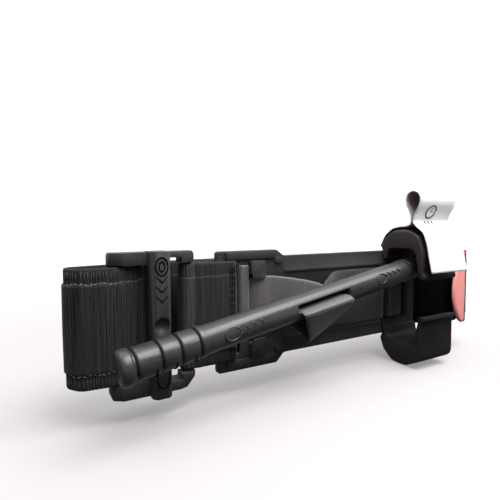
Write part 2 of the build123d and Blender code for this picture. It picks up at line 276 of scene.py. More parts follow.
MAT = {
    "moulded": plastic("moulded_black", (0.028, 0.0256, 0.0266), (0.047, 0.0434, 0.0450),
                       (0.42, 0.58), specular=0.25),
    # painted light on the clip: lighter with height and on its side faces
    "clip": plastic("moulded_clip", (0.006, 0.0048, 0.006), (0.050, 0.0415, 0.0495),
                    (0.42, 0.56), specular=0.14, painted_light_range=(0.034, 0.060)),
    "rod": plastic("rod_black", (0.023, 0.0213, 0.0220), (0.042, 0.0389, 0.0402), (0.28, 0.40),
                   specular=0.5),
    "buckle": plastic("buckle_black", (0.033, 0.030, 0.031), (0.052, 0.0475, 0.049),
                      (0.42, 0.56), specular=0.3),
    "web": webbing("webbing_black", (0.006, 0.0054, 0.0057), (0.036, 0.033, 0.034),
                   specular=0.15, sheen=0.15),
    # lighter copy of the webbing: painted light on the loop's front round the buckle's bar
    "loop": webbing("webbing_painted_light", (0.012, 0.0109, 0.0114), (0.066, 0.0605, 0.0625),
                    specular=0.2, sheen=0.2),
    "strap": webbing("strap_black", (0.066, 0.060, 0.059), (0.134, 0.124, 0.127), 140.0, 0.3,
                     0.35, (0.36, 0.55), 0.4, 0.5),
    # near-black copy of the webbing: painted shade where the band lies behind the clip
    "painted_shade_web": webbing("webbing_painted_shade", (0.0012, 0.0008, 0.0012), (0.004, 0.003, 0.004),
                    specular=0.03, sheen=0.0),
    # darker copy of the strap's webbing: painted shade below and behind the rod
    "rear_painted_shade": webbing("strap_painted_shade", (0.014, 0.0127, 0.0125), (0.034, 0.031, 0.031), 140.0, 0.3,
                    0.35, (0.55, 0.75), 0.2, 0.6),
    # near-black: painted shade in grooves, creases, stitch rows and engraved marks
    "shade": plastic("groove_painted_shade", (0.002, 0.0018, 0.002), (0.004, 0.0036, 0.004),
                     (0.8, 0.95), specular=0.05),
    "white": webbing("write_on_white", (0.82, 0.81, 0.81), (0.91, 0.905, 0.90), 200.0, 0.1,
                     0.3, (0.5, 0.7), 0.3, 0.35),
    "backing": webbing("backing_grey", (0.34, 0.275, 0.31), (0.48, 0.395, 0.44), 260.0,
                       0.2, 0.3, (0.7, 0.9), 0.15, 0.6),
    "red": webbing("tip_red", (0.87, 0.27, 0.25), (0.95, 0.37, 0.35), 120.0, 0.15, 0.4,
                   (0.35, 0.5), 0.5, 0.5),
    "thread": plastic("thread_grey", (0.09, 0.082, 0.086), (0.30, 0.28, 0.29), (0.4, 0.6),
                      4000.0, specular=0.3),
    # lighter grey than the webbing: painted highlights on raised yarns
    "yarn": plastic("yarn_painted_highlight", (0.03, 0.027, 0.028), (0.10, 0.092, 0.096), (0.4, 0.6),
                    4000.0, specular=0.3),
    "ink": plastic("ink_dark", (0.016, 0.015, 0.017), (0.03, 0.028, 0.03), (0.5, 0.65)),
}


# ------------------------------------------------------------------ mesh helpers
def new_mesh(name, verts, faces, uvs=None, kinds=None):
    """Object of the given vertices in row-frame metres; kinds are material indices."""
    mesh = bpy.data.meshes.new(name)
    mesh.from_pydata([tuple(v) for v in verts], [], faces)
    if uvs is not None:
        layer = mesh.uv_layers.new(name="UVMap")
        loops = np.zeros(len(mesh.loops), int)
        mesh.loops.foreach_get("vertex_index", loops)
        layer.data.foreach_set("uv", np.asarray(uvs, np.float32)[loops].ravel())
    if kinds is not None:
        mesh.polygons.foreach_set("material_index", kinds)
    mesh.update()
    mesh.polygons.foreach_set("use_smooth", [True] * len(mesh.polygons))
    obj = bpy.data.objects.new(name, mesh)
    bpy.context.scene.collection.objects.link(obj)
    bm = bmesh.new()
    bm.from_mesh(mesh)
    bmesh.ops.recalc_face_normals(bm, faces=bm.faces)
    bm.to_mesh(mesh)
    bm.free()
    return obj


def rounded_path(points, radii, step, fine=4.0):
    """Straight runs joined by arcs, cut into pieces no longer than step(x, y)."""
    pts = [np.array(p, float) for p in points]
    raw = [pts[0]]
    for i in range(1, len(pts) - 1):
        p, a, b = pts[i], pts[i - 1], pts[i + 1]
        u = (a - p) / np.linalg.norm(a - p)
        v = (b - p) / np.linalg.norm(b - p)
        half = math.acos(max(-1.0, min(1.0, float(u @ v)))) / 2
        r = radii[i - 1]
        t = r / math.tan(half)
        w = (u + v) / np.linalg.norm(u + v)
        centre = p + w * r / math.sin(half)
        s, e = p + u * t - centre, p + v * t - centre
        a0, a1 = math.atan2(s[1], s[0]), math.atan2(e[1], e[0])
        turn = (a1 - a0 + math.pi) % (2 * math.pi) - math.pi
        n = max(4, int(abs(turn) / math.radians(fine)))
        for k in range(n + 1):
            ang = a0 + turn * k / n
            raw.append(centre + r * np.array([math.cos(ang), math.sin(ang)]))
    raw.append(pts[-1])
    out = [raw[0]]
    for a, b in zip(raw, raw[1:]):
        gap = np.linalg.norm(b - a)
        if gap < 1e-4:
            continue
        mid = (a + b) / 2
        n = max(1, math.ceil(gap / step(mid[0], mid[1])))
        out += [a + (b - a) * k / n for k in range(1, n + 1)]
    out = np.array(out)
    return out, arc_length(out)


def arc_length(points):
    """Length along the points, from 0 at the first one."""
    return np.concatenate([[0], np.cumsum(np.linalg.norm(np.diff(points, axis=0), axis=1))])


def rounded_half(place, width, reach, thick, least):
    """Half thickness across a strap, rounded off within reach of both edges."""
    edge = np.minimum(place, width - place) / reach
    return np.maximum(least, thick * np.sqrt(np.clip(1 - (1 - np.minimum(edge, 1)) ** 2, 0, 1)))


def smooth_curve(points, per=8):
    """Catmull-Rom through the points (any dimension)."""
    p = np.array(points, float)
    p = np.vstack([2 * p[0] - p[1], p, 2 * p[-1] - p[-2]])
    out = []
    for i in range(1, len(p) - 2):
        for k in range(per):
            t = k / per
            out.append(0.5 * (2 * p[i] + (p[i + 1] - p[i - 1]) * t
                              + (2 * p[i - 1] - 5 * p[i] + 4 * p[i + 1] - p[i + 2]) * t ** 2
                              + (3 * p[i] - p[i - 1] - 3 * p[i + 1] + p[i + 2]) * t ** 3))
    out.append(p[-2])
    return np.array(out)


def grid_normals(grid):
    """Unit normals of a grid of points."""
    du = np.gradient(grid, axis=0)
    dv = np.gradient(grid, axis=1)
    n = np.cross(du, dv)
    return n / np.maximum(np.linalg.norm(n, axis=2), 1e-9)[..., None]


def cloth(name, grid, half, relief=None, along=None, across=None, kinds=(0, 0)):
    """Closed cloth round a grid of centre points: n along, m across.

    half is the half thickness at each place across, relief is added to both sides.
    The first side is the one the grid's normal points away from.
    """
    g = np.asarray(grid, float)
    n, m, _ = g.shape
    nrm = grid_normals(g)
    h = np.broadcast_to(half, (n, m)) if np.ndim(half) < 2 else half
    add = np.zeros((n, m)) if relief is None else relief
    grow = (h + add * (h > 0.2))[..., None]
    sides = [g - nrm * grow, g + nrm * grow]
    verts = np.concatenate([s.reshape(-1, 3) for s in sides])
    if along is None:
        along = arc_length(g[:, m // 2])
    if across is None:
        across = arc_length(g[0])
    uv = np.stack(np.meshgrid(along / 100.0, np.asarray(across) / 100.0, indexing="ij"), 2)
    uvs = np.concatenate([uv.reshape(-1, 2)] * 2)
    faces, mats = [], []
    base = n * m
    for i in range(n - 1):
        for j in range(m - 1):
            a, b, c, d = i * m + j, (i + 1) * m + j, (i + 1) * m + j + 1, i * m + j + 1
            faces.append((a, b, c, d))
            mats.append(kinds[0])
            faces.append((a + base, d + base, c + base, b + base))
            mats.append(kinds[1])
    for i in range(n - 1):
        for j in (0, m - 1):
            a, b = i * m + j, (i + 1) * m + j
            faces.append((a, a + base, b + base, b))
            mats.append(kinds[1])
    for j in range(m - 1):
        for i in (0, n - 1):
            a, b = i * m + j, i * m + j + 1
            faces.append((a, b, b + base, a + base))
            mats.append(kinds[1])
    return new_mesh(name, to_row(verts), faces, uvs, mats)


def dress(obj, *names):
    """Gives the piece its materials and keeps the choice made for each face."""
    kinds = np.zeros(len(obj.data.polygons), np.int32)
    obj.data.polygons.foreach_get("material_index", kinds)
    obj.data.materials.clear()
    for name in names:
        obj.data.materials.append(MAT[name])
    obj.data.polygons.foreach_set("material_index", kinds)
    return obj


def tubes(name, lines, radius, sides=6):
    """One mesh of short round threads, each following its own list of points."""
    verts, faces, uvs = [], [], []
    for line in lines:
        p = np.array(line, float)
        t = np.gradient(p, axis=0)
        t /= np.linalg.norm(t, axis=1)[:, None]
        ref = np.array([0.3, 0.2, 0.93]) if abs(t[0][2]) < 0.8 else np.array([0.9, 0.3, 0.2])
        base = len(verts)
        for i, q in enumerate(p):
            a = np.cross(t[i], ref)
            a /= np.linalg.norm(a)
            b = np.cross(t[i], a)
            r = radius * (0.45 if i in (0, len(p) - 1) else 1.0)
            for k in range(sides):
                ang = 2 * math.pi * k / sides
                verts.append(q + (a * math.cos(ang) + b * math.sin(ang)) * r)
                uvs.append((i * 0.01, k / sides * 0.02))
        for i in range(len(p) - 1):
            for k in range(sides):
                k2 = (k + 1) % sides
                faces.append((base + i * sides + k, base + (i + 1) * sides + k,
                              base + (i + 1) * sides + k2, base + i * sides + k2))
        faces.append(tuple(base + k for k in range(sides))[::-1])
        end = base + (len(p) - 1) * sides
        faces.append(tuple(end + k for k in range(sides)))
    return new_mesh(name, to_row(verts), faces, uvs)


# ------------------------------------------------------------------ the folded band
def irregular(s, pitch):
    """Rib phase along the band, with uneven spacing."""
    return s / pitch + 0.23 * np.sin(s * 0.83 + 0.4) + 0.13 * np.sin(s * 2.17 + 1.3)


# places across the band: close together at the edges and on both sides of a seam
ACROSS = [-HALF_BAND, -18.93, -18.7, -18.2, -17.2, -16.2, -15.3, -14.75, -14.45, -14.2, -13.95,
          -13.6, -13.0, -12.0, -10.2, -8.2, -6.1, -4.0, -2.0, 0.0]
ACROSS = np.array(ACROSS + [-v for v in ACROSS[-2::-1]])
RIB_PITCH = 0.92


def band_half(panel=1.1, border=0.72):
    """Half thickness across the band: thin borders, a seam dip and a thicker panel."""
    out = []
    for v in np.abs(ACROSS):
        edge = (HALF_BAND - v) / 0.8
        if v > SEAM + 0.1:
            h = border * math.sqrt(max(0.0, 1 - max(0.0, 1 - edge) ** 2)) if edge < 1 else border
        elif v > SEAM - 0.1:
            h = border * 0.86
        else:
            k = min(1.0, (SEAM - v) / 0.6)
            h = border + (panel - border) * (1 - (1 - k) ** 2)
        out.append(max(h, 0.04))
    return np.array(out)


def band_relief(arc, strength):
    """Ribs across the band, stronger in the borders, with long uneven streaks."""
    s, v = arc[:, None], ACROSS[None, :]
    rib = np.abs(np.sin(np.pi * irregular(s, RIB_PITCH))) ** 0.7 - 0.62
    broad = np.sin(irregular(s, 4.3) * 2 * np.pi + 0.12 * v) * 0.5
    fade = 0.55 + 0.45 * np.sin(0.21 * v + 1.7 * np.sin(s * 0.37))
    border = (np.abs(v) > SEAM) * 1.0
    amount = border * 0.27 * rib + (1 - border) * (0.13 * rib * fade + 0.06 * broad)
    return amount * strength[:, None]


def band_grid(path, arc):
    """Centre grid of a band standing in Z, its seam line wandering a little per rib."""
    grid = np.zeros((len(path), len(ACROSS), 3))
    grid[..., 0] = path[:, 0][:, None]
    grid[..., 1] = path[:, 1][:, None]
    wander = 0.22 * np.sin(irregular(arc, 2.7) * 2 * np.pi) + 0.12 * np.sin(arc * 3.1)
    near = np.exp(-((np.abs(ACROSS) - SEAM) / 0.7) ** 2)
    grid[..., 2] = ACROSS[None, :] + np.sign(ACROSS)[None, :] * near[None, :] * wander[:, None]
    return grid


def band_step(x, y):
    """Finest where the ribs are seen: on the left fold's front and on the sewn loop."""
    if 45.0 < x < 52.0:
        return 0.8
    if x < 26.5 and y < 2.5 or x < 5.0:
        return 0.155
    if y < 0.0 and x < 63.0:
        return 0.17
    if x < 46.0 or y < -3.0:
        return 0.9
    return 3.0


# the sewn flap, the loop round the buckle's bar, the sleeve behind the plate, the forward
# fold behind the clip, two stowed layers, the buckle's slots and the left fold
MAIN_PATH = [
    (60.4, -1.15), (39.85, -1.15), (39.85, L1), (166.0, L1), (180.0, -4.6), (193.0, -4.6),
    (193.0, -2.1), (181.3, -2.1), (167.3, LA), (72.0, LA), (72.0, LB), (188.0, LB),
    (188.0, L3), (36.5, L3), (27.0, 4.6), (24.7, 0.3), (16.0, -3.4), (6.0, -2.4),
    (2.8, 2.0), (3.2, 6.5), (36.0, L4), (150.0, L4),
]
MAIN_RADII = [2.5, 2.5, 12.0, 12.0, 1.23, 1.23, 12.0, 12.0, 1.23, 1.23, 1.23, 1.23, 4.0, 3.0,
              1.6, 12.0, 4.0, 4.0, 3.0, 20.0]
LOOP_X = (38.0, 47.0)                     # the loop round the buckle's right bar
FLAP_END = 59.0                           # the flap's ribs are low up to here
main_line, main_arc = rounded_path(MAIN_PATH, MAIN_RADII, band_step)


def rib_strength(x, y):
    """Rib height along the main band: high on the loop, almost smooth on the flap."""
    out = np.where((x < 26.5) | (y < -0.5), 1.0, 0.6)
    out = np.where((x > LOOP_X[0]) & (x < LOOP_X[1]) & (y < 0.0), 1.6, out)
    return np.where((x >= LOOP_X[1]) & (x < FLAP_END) & (y < 0.0), 0.35, out)


def main_band():
    x, y = main_line[:, 0], main_line[:, 1]
    # the layer on the left fold has a thicker panel and thinner borders than the rest
    half = np.where((x < 22.5)[:, None], band_half(1.16, 0.5)[None, :], band_half()[None, :])
    relief = band_relief(main_arc, rib_strength(x, y))
    obj = cloth("band_main", band_grid(main_line, main_arc), half, relief, main_arc,
                ACROSS + HALF_BAND)
    dress(obj, "web", "painted_shade_web", "loop")
    for face in obj.data.polygons:
        spot = obj.data.vertices[face.vertices[0]].co
        if spot.x > at(163.2, 0, 0).x and spot.y < at(0, 3.4, 0).y:
            # behind the clip the band gets painted shade, a near-black copy of its webbing
            face.material_index = 1
        elif at(LOOP_X[0], 0, 0).x < spot.x < at(44.6, 0, 0).x and spot.y < at(0, -0.9, 0).y:
            # the loop's front round the buckle's bar gets painted light, a lighter copy of its
            # webbing
            face.material_index = 2
    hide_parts("sleeve_run", "loop_flap", "buckle_loop", "band_left_run")
    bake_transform(obj)


def free_step(x, y):
    if x > 190.0 or y < -3:
        return 0.5
    return 0.8 if x > 181.0 else 3.0


def free_end():
    path = [(150.3, L4), (196.0, L4), (196.0, -8.9), (191.7, -8.9)]
    line, arc = rounded_path(path, [7.0, 4.0], free_step)
    half = np.where((line[:, 0] > 190)[:, None], band_half(1.1, 0.85)[None, :],
                    band_half()[None, :])
    relief = band_relief(arc, np.full(len(arc), 0.8))
    obj = cloth("free_end_band", band_grid(line, arc), half, relief, arc, ACROSS + HALF_BAND)
    dress(obj, "web")
    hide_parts("band_outer_run", "band_tail")
    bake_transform(obj)


main_band()
free_end()


# ------------------------------------------------------------------ red gripping tip
def red_tip():
    """A cover round the free end's edge, with a round left outline."""
    rows, cols = 13, 40
    right, depth, round_r = 191.75, -8.9, 22.5
    grid = np.zeros((cols, rows, 3))
    for i in range(cols):
        z = -HALF_BAND + 2 * HALF_BAND * i / (cols - 1)
        left = 182.6 + round_r - math.sqrt(max(0.0, round_r ** 2 - (z + 2.0) ** 2))
        left = min(left, 191.2)
        for j in range(rows):
            x = left + (right - left) * j / (rows - 1)
            grid[i, j] = (x, depth - 0.25 * math.sin(math.pi * i / (cols - 1)), z)
    half = np.full((cols, rows), 1.12)
    half[:, :3] = (0.12, 0.75, 1.02)
    half[0, :] *= 0.2
    half[-1, :] *= 0.2
    obj = cloth("red_tip_cover", grid, half)
    dress(obj, "red")
    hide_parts("red_tip")
    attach(obj, "free_end")


red_tip()


# ------------------------------------------------------------------ inner strap
def strap_grid(sections):
    """Sections are (edge A, edge B) pairs; each fibre is a smooth curve through them."""
    a = smooth_curve([s[0] for s in sections])
    b = smooth_curve([s[1] for s in sections])
    t = np.array([0, 0.012, 0.04] + list(np.linspace(0.1, 0.9, 9)) + [0.96, 0.988, 1])
    return a[:, None, :] * (1 - t)[None, :, None] + b[:, None, :] * t[None, :, None], t


# the front part comes up from the plate and goes over the rod into its slot, the rear part
# leaves the slot and is sewn down at its right end
LEFT_STRAP = [
    ((66.3, 1.7, -10.0), (66.3, 1.7, 12.2)),
    ((70.5, -0.9, -9.4), (70.5, -0.9, 12.2)),
    ((77.0, -1.7, -7.8), (79.0, -1.9, 12.1)),
    ((81.4, -4.5, -6.6), (97.0, -8.2, 8.0)),
    ((84.5, -9.5, -9.6), (102.6, -10.5, -1.0)),
    ((85.3, -14.0, -12.4), (102.2, -17.5, -0.4)),
    ((78.3, -20.9, -1.5), (101.6, -21.0, 3.2)),
    ((77.3, -21.1, 0.2), (101.4, -20.4, 4.35)),
    ((77.0, -19.0, 0.78), (101.4, -18.0, 4.80)),
    ((76.9, -15.6, 0.62), (101.4, -14.2, 4.66)),
]
RIGHT_STRAP = [
    ((76.9, -13.6, 0.8), (101.4, -12.5, 4.9)),
    ((76.7, -9.3, 1.4), (101.5, -8.6, 5.4)),
    ((84.0, -5.2, -3.0), (104.0, -5.0, 9.0)),
    ((96.0, -2.2, -10.4), (107.5, -2.2, 11.6)),
    ((112.0, -0.95, -12.2), (114.0, -0.95, 12.2)),
    ((130.0, -0.9, -12.2), (130.0, -0.9, 12.2)),
    ((139.4, -0.8, -12.2), (139.4, -0.8, 12.2)),
    ((141.2, 0.4, -12.2), (141.2, 0.4, 12.2)),
    ((141.7, 2.4, -12.2), (141.7, 2.4, 12.2)),
]


def inner_straps():
    grid, t = strap_grid(LEFT_STRAP)
    left = cloth("inner_strap_front", grid, rounded_half(t, 1, 0.045, 0.46, 0.06))
    grid, t = strap_grid(RIGHT_STRAP)
    right = cloth("inner_strap_rear", grid, rounded_half(t, 1, 0.045, 0.58, 0.06))
    # the rear strap is all in the darker copy: painted shade
    for obj, materials in ((left, ("strap", "rear_painted_shade")), (right, ("rear_painted_shade",))):
        dress(obj, *materials)
    for face in left.data.polygons:
        # the part below and behind the rod gets painted shade, the strap's darker copy
        spot = (Vector(face.center) - Vector(ORIGIN)) * 1000.0
        below = ROD_MID[2] + (spot.x - ROD_MID[0]) * 0.165 - spot.z
        if spot.x > 76.0 and below > (1.0 if spot.y > -12.5 else 2.9):
            face.material_index = 1
    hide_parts("inner_strap_left", "inner_strap_loop")
    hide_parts("inner_strap_right")
    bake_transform(left)
    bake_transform(right)


inner_straps()


# ------------------------------------------------------------------ time strap
TIME_PATH = [
    (2.3, 22.0), (-0.6, 27.2), (-6.0, 30.9), (-12.4, 31.7), (-14.5, 33.2),
    (-14.3, 37.0), (-12.4, 41.0), (-11.9, 44.0), (-13.0, 46.4), (-15.3, 47.2), (-17.9, 46.3),
    (-19.0, 43.8), (-18.5, 40.8), (-16.4, 37.0), (-15.5, 33.8), (-17.4, 31.4),
    (-20.9, 28.4), (-23.0, 22.6), (-24.0, 17.6), (-25.5, 11.2),
]
TIME_X0, TIME_W = 142.5, 25.0             # the strap's left edge and its width
ROOT_W = 19.5                             # width of the root inside the clip


def time_frame():
    """The strap's line in Y-Z, its arc lengths and the directions out of its outer side."""
    line = smooth_curve(TIME_PATH, 7)
    t = np.gradient(line, axis=0)
    t /= np.linalg.norm(t, axis=1)[:, None]
    return line, arc_length(line), np.stack([t[:, 1], -t[:, 0]], 1)


TIME_LINE, TIME_ARC, TIME_OUT = time_frame()


def time_strap():
    line, arc = TIME_LINE, TIME_ARC
    xs = np.concatenate([[0, 0.15, 0.5], np.linspace(1.2, 23.8, 15), [24.5, 24.85, TIME_W]])
    grid = np.zeros((len(line), len(xs), 3))
    for i, (y, z) in enumerate(line):
        for j, x in enumerate(xs):
            # the hanging layer leans a little and is not quite flat
            low = max(0.0, (30.0 - z) / 20.0) if i > len(line) * 0.7 else 0.0
            place = TIME_X0 + x
            if i < len(line) * 0.12:
                place = TIME_X0 + ROOT_W * x / TIME_W
            elif i < len(line) * 0.24:
                k = (i / len(line) - 0.12) / 0.12
                place = TIME_X0 + (ROOT_W + (TIME_W - ROOT_W) * k) * x / TIME_W
            grid[i, j] = (place, y + 0.25 * low * math.sin(x / TIME_W * math.pi * 1.3), z)
    half = rounded_half(xs, TIME_W, 0.5, 0.42, 0.05)
    obj = cloth("time_strap_band", grid, half, kinds=(1, 0))
    dress(obj, "white", "backing", "web")
    for face in obj.data.polygons:
        # the sewn root inside the clip is plain black webbing
        if max(obj.data.vertices[v].co.z for v in face.vertices) < at(0, 0, 31.0).z \
                and min(obj.data.vertices[v].co.y for v in face.vertices) > at(0, -11.0, 0).y:
            face.material_index = 2
    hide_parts("time_strap_anchor", "time_strap_loop")
    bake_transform(obj)


time_strap()


# ------------------------------------------------------------------ stitches and small parts
def surface_point(line, arc, s, v, lift, half):
    """A point above the outer side of a swept band at arc length s and place v across."""
    x = np.interp(s, arc, line[:, 0])
    y = np.interp(s, arc, line[:, 1])
    x2 = np.interp(s + 0.05, arc, line[:, 0])
    y2 = np.interp(s + 0.05, arc, line[:, 1])
    t = np.array([x2 - x, y2 - y])
    t /= max(np.linalg.norm(t), 1e-9)
    # side 0 of cloth(): against the grid's normal (t_y, -t_x) for a band standing in Z
    return np.array([x - t[1] * (half + lift), y + t[0] * (half + lift), v])


def arc_range(test):
    """Arc lengths of the main band where test(x, y) holds."""
    keep = np.array([test(x, y) for x, y in main_line])
    return main_arc[keep].min(), main_arc[keep].max()


def on_left_fold(x, y):
    """The front of the left fold, where stitches and single ribs are seen."""
    return x < 26.0 and y < 2.0


def fold_ribs():
    """Arc lengths over the left fold, and the rib phase at each of them."""
    span = np.linspace(*arc_range(on_left_fold), 4000)
    return span, irregular(span, RIB_PITCH)


def seam_stitches():
    """Uneven slanted stitches along both seams of the left fold."""
    s0, s1 = arc_range(on_left_fold)
    lines = []
    for side in (-1, 1):
        s, k = s0 + 0.4, 0
        while s < s1 - 1.2:
            length = 0.95 + 0.25 * RNG.random()
            wander = 0.22 * math.sin(s * 0.9) + 0.16 * (RNG.random() - 0.5)
            v = side * (SEAM - 0.05 + wander)
            tilt = 0.42 if k % 2 else -0.42
            lines.append([surface_point(main_line, main_arc, s + length * t,
                                        v + side * tilt * (t - 0.5),
                                        0.16 * math.sin(math.pi * t) - 0.02, 0.86)
                          for t in (0.0, 0.33, 0.67, 1.0)])
            s += length + 0.22 + 0.2 * RNG.random()
            k += 1
    obj = dress(tubes("seam_stitches", lines, 0.13), "thread")
    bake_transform(obj)


def stitch_rows(name, rows, material, radius):
    """Rows are (x, y, z0, z1, stitch, gap): upright lines of separate stitches."""
    lines = []
    for x, y, z0, z1, stitch, gap in rows:
        z = z0
        while z + stitch < z1:
            dx = 0.08 * (RNG.random() - 0.5)
            lines.append([(x + dx, y + 0.10, z), (x + dx, y - 0.05, z + stitch * 0.3),
                          (x - dx, y - 0.05, z + stitch * 0.7), (x - dx, y + 0.10, z + stitch)])
            z += stitch + gap
    obj = dress(tubes(name, lines, radius), material)
    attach(obj, "plate_and_stack")


def z_band(name, path, radii, half_w, thick, material, z_mid=0.0):
    """A short strap standing in Z, wrapped along an X-Y path."""
    line, arc = rounded_path(path, radii, lambda x, y: 0.35, 10.0)
    v = np.concatenate([[0, 0.12, 0.5], np.linspace(1.2, 2 * half_w - 1.2, 22),
                        [2 * half_w - 0.5, 2 * half_w - 0.12, 2 * half_w]])
    grid = np.zeros((len(line), len(v), 3))
    grid[..., 0], grid[..., 1] = line[:, 0][:, None], line[:, 1][:, None]
    grid[..., 2] = (v - half_w)[None, :] + z_mid
    half = rounded_half(v, 2 * half_w, 0.5, thick, 0.05)
    rel = 0.05 * np.sin(v[None, :] * 4.1) * np.sin(arc[:, None] * 3.7)
    obj = dress(cloth(name, grid, half, rel, arc, v), material)
    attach(obj, "plate_and_stack")


def rib_ticks():
    """Raised yarns along the borders of the folded loop, in a lighter grey than the webbing:
    painted highlights.
    """
    lines = []
    span, phase = fold_ribs()
    for k in range(int(phase[0]) + 1, int(phase[-1])):
        s = float(np.interp(k + 0.5, phase, span))
        for side in (-1, 1):
            for low, high, lift in ((15.35, 18.3, 0.10), (13.2, 14.75, 0.12)):
                if RNG.random() < 0.12:
                    continue
                a = low + 0.25 * RNG.random()
                b = high - 0.7 * RNG.random()
                half = 0.66 if low > 15 else 0.8
                lean = 0.2 * (RNG.random() - 0.5)
                lines.append([surface_point(main_line, main_arc, s + lean * t,
                                            side * (a + (b - a) * t),
                                            lift * math.sin(math.pi * t) - 0.08, half)
                              for t in (0.0, 0.35, 0.65, 1.0)])
    obj = dress(tubes("rib_yarn_highlights", lines, 0.12, 5), "yarn")
    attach(obj, "buckle")


def rib_lines():
    """Sharp creases between ribs on the folded loop's panel, drawn near-black as painted shade,
    and the yarns beside them, drawn lighter grey as painted highlights.
    """
    creases, yarns = [], []
    span, phase = fold_ribs()
    for k in range(int(phase[0]) + 1, int(phase[-1])):
        if RNG.random() < 0.3:
            continue
        s = float(np.interp(k, phase, span))
        top = 12.9 - 1.5 * RNG.random() ** 2
        low = -13.0 if RNG.random() < 0.45 else 12.0 - 24.0 * RNG.random()
        if top - low < 3.0:
            continue
        sway = 0.10 * (RNG.random() - 0.5)
        for lines, shift, lift in ((creases, 0.0, -0.02), (yarns, 0.30, -0.03)):
            if lines is yarns and RNG.random() < 0.45:
                continue
            cut = low if lines is creases else low + 0.5 * (top - low) * RNG.random()
            lines.append([surface_point(main_line, main_arc, s + shift + sway * math.sin(t * 5),
                                        top + (cut - top) * t, lift, 1.16)
                          for t in np.linspace(0, 1, 9)])
    for name, lines, material, radius in (("panel_crease_shade", creases, "shade", 0.075),
                                          ("panel_yarn_highlights", yarns, "yarn", 0.085)):
        obj = dress(tubes(name, lines, radius, 5), material)
        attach(obj, "buckle")


seam_stitches()
rib_ticks()
rib_lines()
# the hem's stitch rows are drawn near-black: painted shade of their grooves
stitch_rows("hem_stitch_shade", [(x, -2.28, -18.2, 18.2, 2.6, 0.12) for x in (58.0, 58.85, 59.65)],
            "shade", 0.13)
z_band("strap_root_wrap", [(62.2, 1.9), (63.1, -0.55), (66.3, -0.55), (67.0, 1.6)], [0.9, 0.7],
       10.6, 0.42, "strap", 6.4)
# the end wrap is in the strap's darker copy: painted shade
z_band("strap_end_wrap", [(143.5, 2.3), (143.8, -0.75), (153.2, -0.75), (154.0, 2.1)],
       [0.9, 0.9], 12.2, 0.5, "rear_painted_shade")
stitch_rows("strap_end_stitches", [(145.3, -1.32, -11.6, 11.8, 1.2, 1.0)],
            "thread", 0.24)


# ------------------------------------------------------------------ time strap details
def on_time(s, w, lift):
    """A point above the strap's outer side: s along it, w across it from the left edge."""
    y, z = (np.interp(s, TIME_ARC, TIME_LINE[:, k]) for k in (0, 1))
    out = np.array([np.interp(s, TIME_ARC, TIME_OUT[:, k]) for k in (0, 1)])
    out /= np.linalg.norm(out)
    return (TIME_X0 + w, y + out[0] * lift, z + out[1] * lift)


def time_details():
    """A clock pictogram and three ticks, printed slightly proud."""
    s_all = np.linspace(0, TIME_ARC[-1], 400)
    s_all = s_all[s_all > TIME_ARC[-1] * 0.62]
    z_all = np.interp(s_all, TIME_ARC, TIME_LINE[:, 1])
    # the clock's middle is at Z 40.6 on the outer layer
    clock_s, clock_w, clock_r = float(s_all[np.argmin(np.abs(z_all - 40.6))]), 9.8, 3.1
    lines = [[on_time(clock_s + clock_r * math.sin(a), clock_w + clock_r * math.cos(a), 0.4)
              for a in np.linspace(0, 2 * math.pi, 25)]]
    lines.append([on_time(clock_s, clock_w, 0.4), on_time(clock_s - 2.0, clock_w, 0.4)])
    lines.append([on_time(clock_s, clock_w, 0.4), on_time(clock_s, clock_w + 1.5, 0.4)])
    for w in (7.3, 9.8, 12.3):
        lines.append([on_time(clock_s + 4.6 + t, w, 0.4) for t in (0.0, 1.0, 2.0)])
    obj = dress(tubes("time_marks", lines, 0.34), "ink")
    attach(obj, "time_strap")


def grip_patch():
    """Grey patch of fine hooks on the inner side of the hanging layer."""
    line = np.linspace((-22.75, 19.6), (-24.30, 12.6), 29)
    xs = np.linspace(145.0, 162.0, 57)
    grid = np.zeros((len(line), len(xs), 3))
    grid[..., 0] = xs[None, :]
    grid[..., 1], grid[..., 2] = line[:, 0][:, None], line[:, 1][:, None]
    rel = 0.10 * (RNG.random((len(line), len(xs))) - 0.3)
    half = np.full((len(line), len(xs)), 0.26)
    half[0] = half[-1] = 0.1
    half[:, 0] = half[:, -1] = 0.1
    obj = dress(cloth("time_strap_grip", grid, half, rel), "backing")
    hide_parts("time_strap_hook_tab")
    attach(obj, "time_strap")


time_details()
grip_patch()


# ------------------------------------------------------------------ raised marks
def rod_marks():
    """A generic oval and three chevrons near both ends of the rod's smooth part."""
    def skin(a, ang, r=4.79):
        return on_rod(a, -r * math.cos(ang), r * math.sin(ang))

    lines = []
    for start in (-44.0, 30.0):
        lines.append([skin(start + 2.9 + 2.9 * math.cos(t), 0.02 + 0.44 * math.sin(t))
                      for t in np.linspace(0, 2 * math.pi, 29)])
        for k in range(3):
            a = start + 8.2 + 3.1 * k
            lines.append([skin(a - 0.9, -0.42), skin(a + 0.1, -0.20), skin(a + 0.9, 0.02),
                          skin(a + 0.1, 0.24), skin(a - 0.9, 0.46)])
    obj = dress(tubes("rod_marks", lines, 0.3), "rod")
    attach(obj, "windlass")


def groove_rings():
    """Painted shade: near-black rings at the bottom of the rod's eight grooves."""
    lines = []
    for end in (-1, 1):
        for groove in (4.2, 11.6, 17.7, 24.0):
            a = end * (ROD_LEN / 2 - groove) + end * 0.03
            lines.append([on_rod(a, -4.42 * math.cos(t), 4.42 * math.sin(t))
                          for t in np.linspace(0, 2 * math.pi, 41)])
    obj = dress(tubes("rod_groove_shade", lines, 0.31, 5), "shade")
    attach(obj, "windlass")


